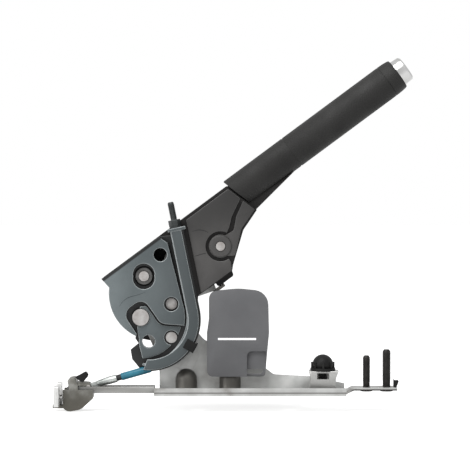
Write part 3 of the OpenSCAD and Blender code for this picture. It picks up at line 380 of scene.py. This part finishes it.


# Each level of the sector: where its face lies, how deep it is painted all black as shade in the
# grooves, its edge's width
for level, face_y, full_shade_y, edge in (("cable_sector", -24.6, -21.0, 0.8),
                                     ("sector_panel", -23.8, -21.5, 1.5),
                                     ("lower_panel", -20.4, -18.6, 1.5)):
    coat, tree, shader = new_finish(level + "_coat", (0.1, 0.118, 0.126), 0.42, 0.1, 0.35)
    shader.inputs["Coat Weight"].default_value = 0.1
    shader.inputs["Coat Roughness"].default_value = 0.3
    tones(tree, shader, 13.0, [(0.3, (0.066, 0.08, 0.084)), (0.48, (0.102, 0.121, 0.126)),
                               (0.7, (0.165, 0.19, 0.196))], 5.0)
    # Painted shade: the sector is darker towards the grip side.
    zone_tint(tree, shader, SECTOR_SHADED_SIDE, (0.045, 0.055, 0.058))
    # Painted shade: the coat goes black deeper into the grooves and recesses.
    zone_tint(tree, shader, [("Y", face_y, full_shade_y)], (0.003, 0.004, 0.0042))
    gloss(tree, shader, 40.0, 0.34, 0.5)
    grain(tree, shader, 280.0, 0.06)
    # Painted highlight: the proud rolled edges are painted paler where they catch the light.
    round_and_highlight_edges(tree, shader, 1.8, ("Y", face_y + PROUD_FROM, face_y + PROUD_FULL),
               (0.42, 0.45, 0.455))
    if level == "sector_panel":
        top_fold = lever_zone(tree, TOP_FOLD_FROM, TOP_FOLD_FULL)
        blend_tone(tree, shader, [top_fold], (0.006, 0.007, 0.007))
    dress([level], coat, edge, 4)
washer_grey, tree, shader = new_finish("washer_grey", (0.1, 0.1, 0.1), 0.45, 0.5)
tones(tree, shader, 110.0, [(0.35, (0.075, 0.074, 0.072)), (0.7, (0.14, 0.138, 0.135))])
dress(["cross_washer"], washer_grey, 0.5, 3)

# Fine creases are left by the press tools: two across the doubler and one round the pivot's dish.
# Each is a hair-wide ridge that lies on the sheet and is made in one with it; its near-black
# colour is painted shade along the crease.
DOUBLER_FACE = -18.4
DISH_FACE = -24.5
CREASE_ROOT = Vector((0.0, 0.1, 0.0))
CREASE_TOP = Vector((0.0, -0.08, 0.0))

# Painted shade: the creases are coloured near-black as the shade along their step.
crease_shade, tree, shader = new_finish("crease_shade", (0.006, 0.007, 0.0072), 0.6, 0.0, 0.2)
tones(tree, shader, 90.0, [(0.35, (0.004, 0.0045, 0.0047)), (0.7, (0.012, 0.0135, 0.014))])
grain(tree, shader, 400.0, 0.03)


def smooth_line(points, steps):
    """A smooth curve through points, with some steps from each one to the next."""
    line = []
    last = len(points) - 1
    for i in range(last):
        before, here, there = points[max(i - 1, 0)], points[i], points[i + 1]
        after = points[min(i + 2, last)]
        for k in range(steps):
            t = k / steps
            line.append(0.5 * (2.0 * here + (there - before) * t
                               + (2.0 * before - 5.0 * here + 4.0 * there - after) * t ** 2
                               + (3.0 * (here - there) + after - before) * t ** 3))
    line.append(points[last])
    return line


def crease(name, face_y, width, points):
    """A low ridge along points (x, z) of the face at face_y, widest in its middle."""
    line = smooth_line([Vector((x, face_y, z)) for x, z in points], 6)
    last = len(line) - 1
    rings = []
    for i, at in enumerate(line):
        run = (line[min(i + 1, last)] - line[max(i - 1, 0)]).normalized()
        half = 0.5 * width * (0.35 + 0.65 * math.sin(math.pi * i / last))
        across = Vector((-run.z, 0.0, run.x)) * half
        rings.append([at + across + CREASE_ROOT, at + across * 0.4 + CREASE_TOP,
                      at - across * 0.4 + CREASE_TOP, at - across + CREASE_ROOT])
    piece = skin(name, rings)
    piece.data.materials.append(crease_shade)
    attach(piece, "lever")


crease("doubler_crease_high", DOUBLER_FACE, 0.7,
       [(-48.0, 161.5), (-41.5, 163.0), (-35.5, 162.2), (-31.5, 160.2)])
crease("doubler_crease_low", DOUBLER_FACE, 0.9,
       [(-45.5, 136.7), (-41.0, 138.0), (-37.0, 139.2), (-33.5, 139.8)])
crease("dish_crease", DISH_FACE, 0.5,
       [(-120.0, 87.0), (-116.5, 92.0), (-110.5, 96.0), (-100.5, 98.9), (-94.0, 101.5)])

# A black rubber bumper under the lever meets the bracket's tab when the lever is down.
# It is moulded and pressed into the channel.
bumper_rubber, tree, shader = new_finish("bumper_rubber", (0.008, 0.008, 0.008), 0.8, 0.0, 0.25)
tones(tree, shader, 80.0, [(0.35, (0.006, 0.006, 0.006)), (0.7, (0.013, 0.013, 0.013))])
grain(tree, shader, 700.0, 0.08)
dress(["stop_bumper"], bumper_rubber, 0.8, 3)

# The grip is a soft black moulding with a fine leather-like grain, pushed over the handle tube.
# The chrome button slides in its open end.
grip_skin, tree, shader = new_finish("grip_skin", (0.012, 0.0118, 0.0112), 0.6, 0.0, 0.3)
tones(tree, shader, 30.0, [(0.3, (0.009, 0.0088, 0.0082)), (0.55, (0.0135, 0.0132, 0.0125)),
                           (0.75, (0.021, 0.0205, 0.0195))], 9.0)
gloss(tree, shader, 25.0, 0.52, 0.72)
grain(tree, shader, 650.0, 0.35, 6.0, (1.0, 1.0, 1.0), 0.9)
dress(["grip"], grip_skin, 0.9, 3)
chrome, tree, shader = new_finish("chrome", (0.5, 0.5, 0.5), 0.2, 1.0)
tones(tree, shader, 60.0, [(0.35, (0.43, 0.43, 0.42)), (0.7, (0.56, 0.56, 0.56))])
gloss(tree, shader, 120.0, 0.16, 0.3)
dress(["release_button"], chrome, 0.8, 3)

# The release spring is wound from bright wire, with a closed turn at each end.
# It stands in the handle tube between the rod guide and the button's stem.
SPRING_FROM = 290.0
GRIP_AXIS_HEIGHT = 42.5
GUIDE_FACE = PIVOT + ALONG_LEVER * SPRING_FROM + ABOVE_LEVER * GRIP_AXIS_HEIGHT
SPRING_FREE = 40.5
SPRING_END_GAP = 0.1
COIL_R = 6.0
WIRE_R = 0.7
COIL_TURNS = 8


def wire_coil(name, foot, axis, coil_r, wire_r, turns, length):
    """A compression spring along axis, closed by one flat turn at each end."""
    side = axis.orthogonal().normalized()
    other = axis.cross(side)
    per_turn = 24
    sides = 10
    around = [2.0 * math.pi * k / sides for k in range(sides)]
    closed = 2.2 * wire_r
    pitch = (length - 2.0 * wire_r - 2.0 * closed) / (turns - 2)
    rings = []
    for i in range(turns * per_turn + 1):
        turn = i / per_turn
        open_turns = min(max(turn - 1.0, 0.0), turns - 2.0)
        closed_turns = min(turn, 1.0) + max(turn - turns + 1.0, 0.0)
        out = side * math.cos(2.0 * math.pi * turn) + other * math.sin(2.0 * math.pi * turn)
        height = wire_r + closed * closed_turns + pitch * open_turns
        middle = foot + axis * height + out * coil_r
        rings.append([middle + (out * math.cos(angle) + axis * math.sin(angle)) * wire_r
                      for angle in around])
    piece = skin(name, rings)
    piece.data.shade_smooth()
    return piece


spring = wire_coil("release_coil", GUIDE_FACE + ALONG_LEVER * SPRING_END_GAP, ALONG_LEVER,
                   COIL_R, WIRE_R, COIL_TURNS, SPRING_FREE - 2.0 * SPRING_END_GAP)
spring.data.materials.append(pin_steel)
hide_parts("release_spring")
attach(spring, "lever")
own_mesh(spring)

# The cable ends in a threaded adjuster with its nut, held in the sector's folded tab.
# All of it is phosphated steel, nearly black.
ADJUSTER_LEAN = math.radians(11.5)
ADJUSTER_RUN = Vector((-math.sin(ADJUSTER_LEAN), 0.0, math.cos(ADJUSTER_LEAN)))
ADJUSTER_FOOT = Vector((-48.04, -21.0, 86.37))
ADJUSTER_R = 3.0
ADJUSTER_THREAD_FROM = 89.0
ADJUSTER_THREAD = 16.0

thread_steel, tree, shader = new_finish("thread_steel", (0.03, 0.034, 0.034), 0.45, 0.5, 0.4)
tones(tree, shader, 130.0, [(0.35, (0.022, 0.025, 0.025)), (0.7, (0.045, 0.05, 0.05))])
dress(["adjuster_stud", "adjuster_nut", "adjuster_washer", "cable_crimp"], thread_steel, 0.4)
adjuster_thread = thread("adjuster_thread", ADJUSTER_FOOT + ADJUSTER_RUN * ADJUSTER_THREAD_FROM,
                         ADJUSTER_RUN, ADJUSTER_R, ADJUSTER_THREAD, pitch=1.0, ridge=0.3)
adjuster_thread.data.materials.append(thread_steel)
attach(adjuster_thread, "lever")

# The cable is black-covered where it lies in the groove and down to the slider.
# The free run has a blue sleeve and a crimped ferrule with an eye on the slider's pin.
cable_black, tree, shader = new_finish("cable_black", (0.009, 0.009, 0.0095), 0.45, 0.0, 0.35)
tones(tree, shader, 120.0, [(0.35, (0.007, 0.007, 0.0075)), (0.7, (0.016, 0.016, 0.017))])
grain(tree, shader, 500.0, 0.1, 2.0, (0.15, 1.0, 1.0))
dress(["cable_wrap", "cable_run"], cable_black, 0.2)
blue_sleeve, tree, shader = new_finish("blue_sleeve", (0.02, 0.16, 0.26), 0.4, 0.0, 0.4)
tones(tree, shader, 60.0, [(0.3, (0.01, 0.1, 0.15)), (0.55, (0.017, 0.155, 0.225)),
                           (0.75, (0.035, 0.21, 0.29))], 7.0)
dress(["cable_sleeve"], blue_sleeve, 0.3)
ferrule_metal, tree, shader = new_finish("ferrule_metal", (0.5, 0.52, 0.5), 0.38, 0.8)
tones(tree, shader, 90.0, [(0.35, (0.22, 0.235, 0.225)), (0.65, (0.45, 0.47, 0.455))])
dress(["cable_ferrule"], ferrule_metal, 0.4)

# The slider is a folded steel scoop that rides on the rail and carries the equaliser plate.
# Its plating is stained and dark from use, and painted darker low down as shade. The plate's zinc
# is bright.
SCOOP_BOTTOM_SHADE = [("Z", 9.0, -8.0)]

slider_steel, tree, shader = new_finish("slider_steel", (0.25, 0.25, 0.235), 0.42, 0.75)
tones(tree, shader, 48.0, [(0.3, (0.045, 0.042, 0.037)), (0.47, (0.15, 0.147, 0.132)),
                           (0.66, (0.36, 0.36, 0.34))], 8.0)
# Painted shade: the scoop is darker low down.
zone_tint(tree, shader, SCOOP_BOTTOM_SHADE, (0.085, 0.08, 0.068))
gloss(tree, shader, 70.0, 0.3, 0.55)
grain(tree, shader, 220.0, 0.12)
dress(["slider"], slider_steel, 0.6)
yoke_zinc, tree, shader = new_finish("yoke_zinc", (0.6, 0.6, 0.59), 0.36, 0.5)
tones(tree, shader, 55.0, [(0.3, (0.36, 0.355, 0.34)), (0.5, (0.58, 0.58, 0.57)),
                           (0.72, (0.7, 0.7, 0.69))], 7.0)
gloss(tree, shader, 80.0, 0.28, 0.48)
grain(tree, shader, 240.0, 0.1)
dress(["equaliser_yoke"], yoke_zinc, 0.6)

# The floor is a wide matte white sheet just under the part's lowest point.
# The eye and mirrored rays see it lifted to paper white, and it keeps the part's shadow.
FLOOR_GAP = 0.0005
FLOOR_TONE = 0.8
FLOOR_LIFT = 0.7

scene = bpy.context.scene
scene.view_settings.view_transform = "Standard"


def background_rays(tree):
    """Is 1 for the rays that show the background: direct, mirrored and seen through glass."""
    ray = tree.nodes.new("ShaderNodeLightPath")
    shown = ray.outputs["Is Camera Ray"]
    for kind in ("Is Glossy Ray", "Is Transmission Ray"):
        either = tree.nodes.new("ShaderNodeMath")
        either.operation = "MAXIMUM"
        tree.links.new(shown, either.inputs[0])
        tree.links.new(ray.outputs[kind], either.inputs[1])
        shown = either.outputs["Value"]
    return shown


bpy.ops.mesh.primitive_plane_add(size=12.0, location=(0.0, 0.0, cad_box[0][2] - FLOOR_GAP))
floor = bpy.context.object
floor.name = "floor"
floor_white, tree, shader = new_finish("floor_white", [FLOOR_TONE] * 3, 0.9, 0.0, 0.0)
shader.inputs["Emission Color"].default_value = (1.0, 1.0, 1.0, 1.0)
lift = fade(tree, background_rays(tree), 0.0, 1.0, 0.0, FLOOR_LIFT)
tree.links.new(lift, shader.inputs["Emission Strength"])
floor.data.materials.append(floor_white)

# Plain studio light: an even white surround, a large softbox overhead and a weaker one at left.
# The surround is white to the eye and in mirrored rays, and lights the part at less than half.
SURROUND_FILL = 0.45

world = bpy.data.worlds.new("studio")
scene.world = world
world.use_nodes = True
tree = world.node_tree
surround = tree.nodes["Background"]
surround.inputs["Color"].default_value = (1.0, 1.0, 1.0, 1.0)
strength = fade(tree, background_rays(tree), 0.0, 1.0, SURROUND_FILL, 1.0)
tree.links.new(strength, surround.inputs["Strength"])


def softbox(name, place, aim, size, power):
    """A square area lamp at place, turned to aim."""
    data = bpy.data.lights.new(name, "AREA")
    data.size = size
    data.energy = power
    lamp = bpy.data.objects.new(name, data)
    lamp.location = place
    lamp.rotation_euler = (Vector(aim) - Vector(place)).to_track_quat("-Z", "Y").to_euler()
    scene.collection.objects.link(lamp)


softbox("overhead", (-0.35, -0.7, 1.3), (0.0, 0.0, 0.1), size=0.9, power=17.0)
softbox("left_fill", (-1.3, -1.0, 0.5), (0.0, 0.0, 0.12), size=0.7, power=7.0)

# The camera stands square to the sector's side with a long lens, a little above the part.
# The span is the width that the picture takes in at the part.
SPAN = 0.468
CAMERA_BACK = 2.2
CAMERA_RISE = math.radians(2.0)
SENSOR = 36.0
PICTURE_MIDDLE = Vector((-0.005, -0.02, 0.158))

lens = bpy.data.cameras.new("camera")
lens.sensor_width = SENSOR
lens.lens = SENSOR * CAMERA_BACK / SPAN
camera = bpy.data.objects.new("camera", lens)
back = Vector((0.0, -math.cos(CAMERA_RISE), math.sin(CAMERA_RISE)))
camera.location = PICTURE_MIDDLE + back * CAMERA_BACK
camera.rotation_euler = (-back).to_track_quat("-Z", "Y").to_euler()
scene.collection.objects.link(camera)
scene.camera = camera
